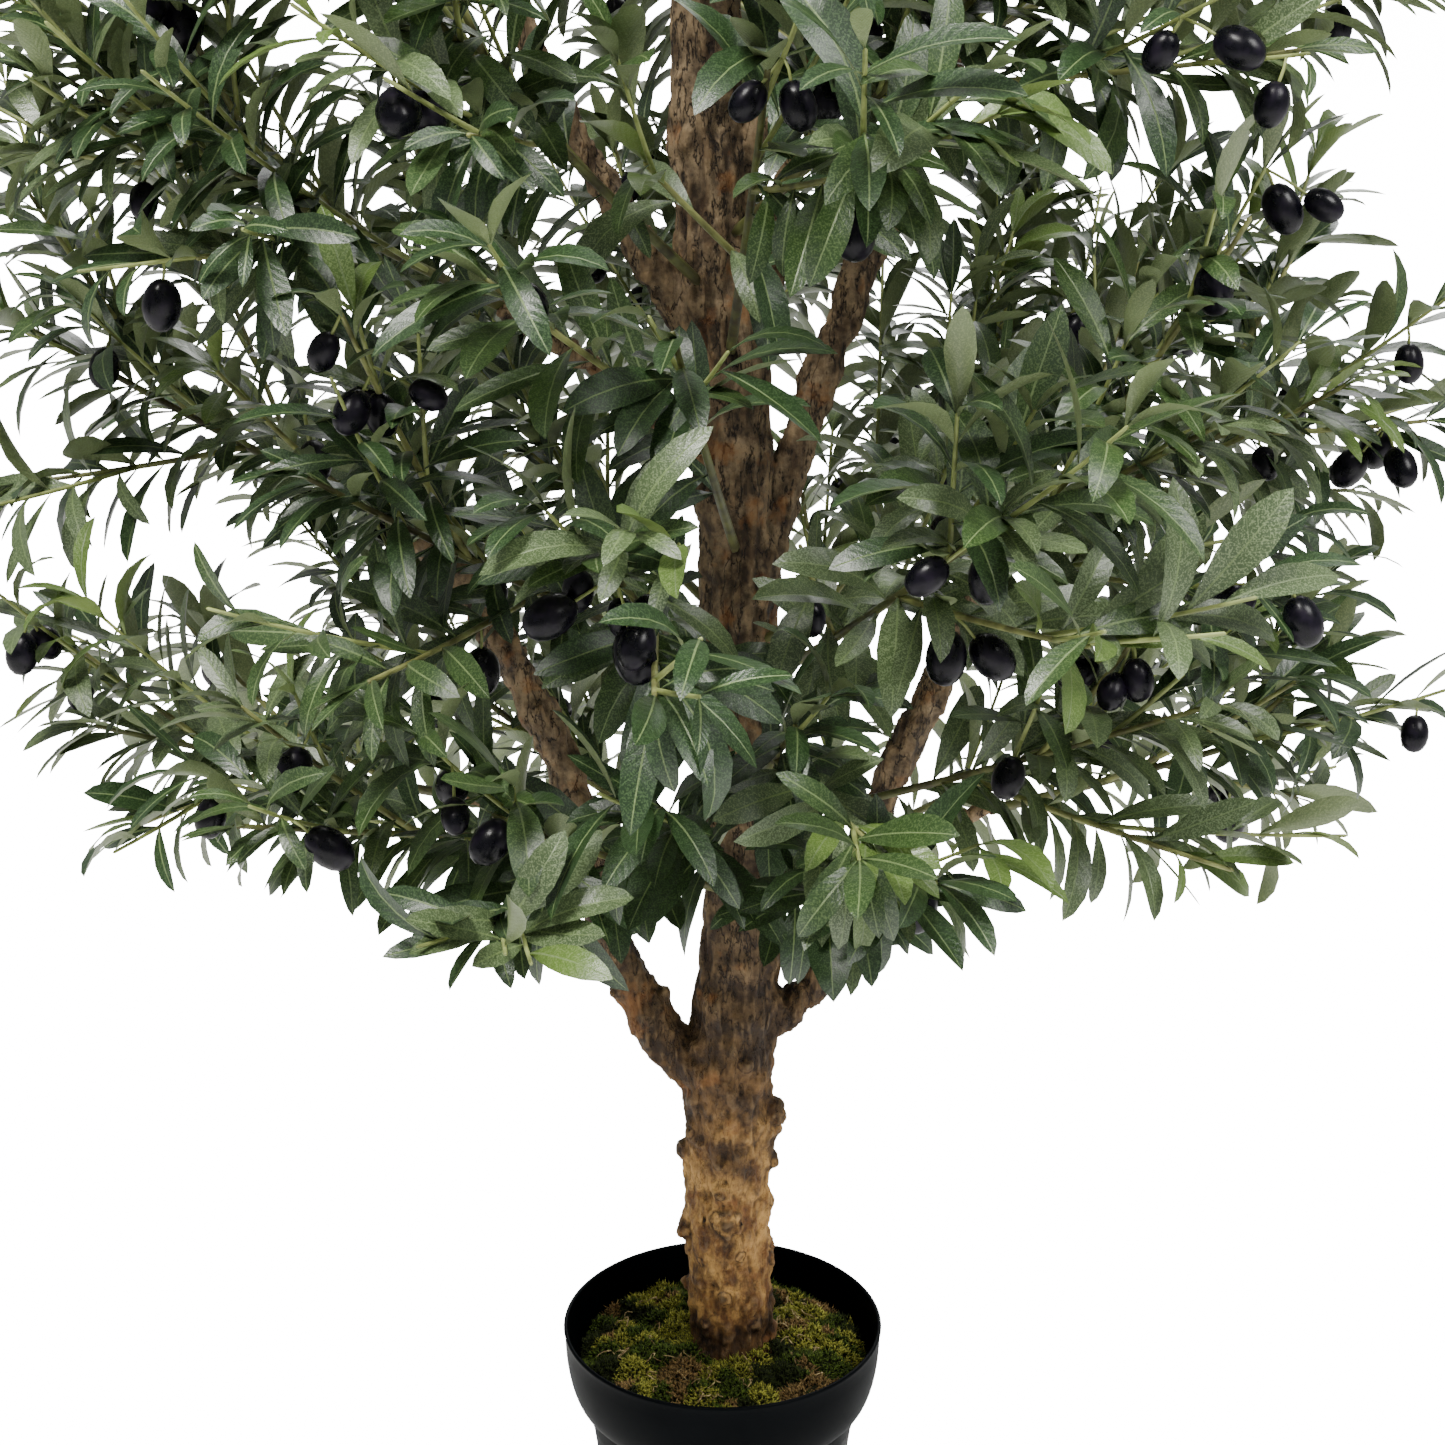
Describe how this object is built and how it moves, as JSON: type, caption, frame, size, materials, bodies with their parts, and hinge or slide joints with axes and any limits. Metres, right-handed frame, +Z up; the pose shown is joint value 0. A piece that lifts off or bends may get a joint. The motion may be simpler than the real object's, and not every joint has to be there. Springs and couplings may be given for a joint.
{
  "type": "artificial olive tree in a pot",
  "caption": "Potted artificial olive tree with a natural wood trunk, forked boughs, full leafy crown with black olives, black plastic pot and moss.",
  "frame": {"origin": "centre of the pot's flat underside", "axes": "+Z up along the trunk, +Y away from the picture's viewer, +X to the viewer's right"},
  "size_m": [0.9549, 0.9354, 1.7907],
  "materials": {
    "black_plastic": "semi-matt moulded black",
    "cement": "rough cast",
    "moss": "dried moss, soft and uneven",
    "bark": "dry natural bark, matt",
    "leaves": "dark green leaves with a soft sheen, grey-green below"
  },
  "bodies": {
    "root": {"pot": "black_plastic", "pot_filling": "cement", "moss": "moss", "trunk": "bark", "low_left_bough": "bark", "low_right_bough": "bark", "mid_right_bough": "bark", "mid_left_bough": "bark", "high_left_bough": "bark", "high_right_bough": "bark", "low_back_bough": "bark", "high_back_bough": "bark", "top_left_bough": "bark", "top_right_bough": "bark", "top_front_bough": "bark", "top_back_bough": "bark", "left_side_bough": "bark", "right_side_bough": "bark", "low_left_leaves": "leaves", "low_right_leaves": "leaves", "low_front_left_leaves": "leaves", "low_front_leaves": "leaves", "low_front_right_leaves": "leaves", "low_left_front_leaves": "leaves", "low_right_front_leaves": "leaves", "low_back_left_leaves": "leaves", "low_back_right_leaves": "leaves", "mid_front_leaves": "leaves", "left_leaves": "leaves", "right_leaves": "leaves", "left_front_leaves": "leaves", "front_left_leaves": "leaves", "front_right_leaves": "leaves", "right_front_leaves": "leaves", "back_leaves": "leaves", "back_left_leaves": "leaves", "back_right_leaves": "leaves", "upper_front_leaves": "leaves", "high_left_front_leaves": "leaves", "high_left_leaves": "leaves", "high_right_leaves": "leaves", "high_right_front_leaves": "leaves", "high_front_leaves": "leaves", "high_front_left_leaves": "leaves", "high_front_right_leaves": "leaves", "high_back_leaves": "leaves", "top_left_leaves": "leaves", "top_right_leaves": "leaves", "top_front_leaves": "leaves", "top_back_leaves": "leaves", "crown_leaves": "leaves"}
  },
  "joints": []
}
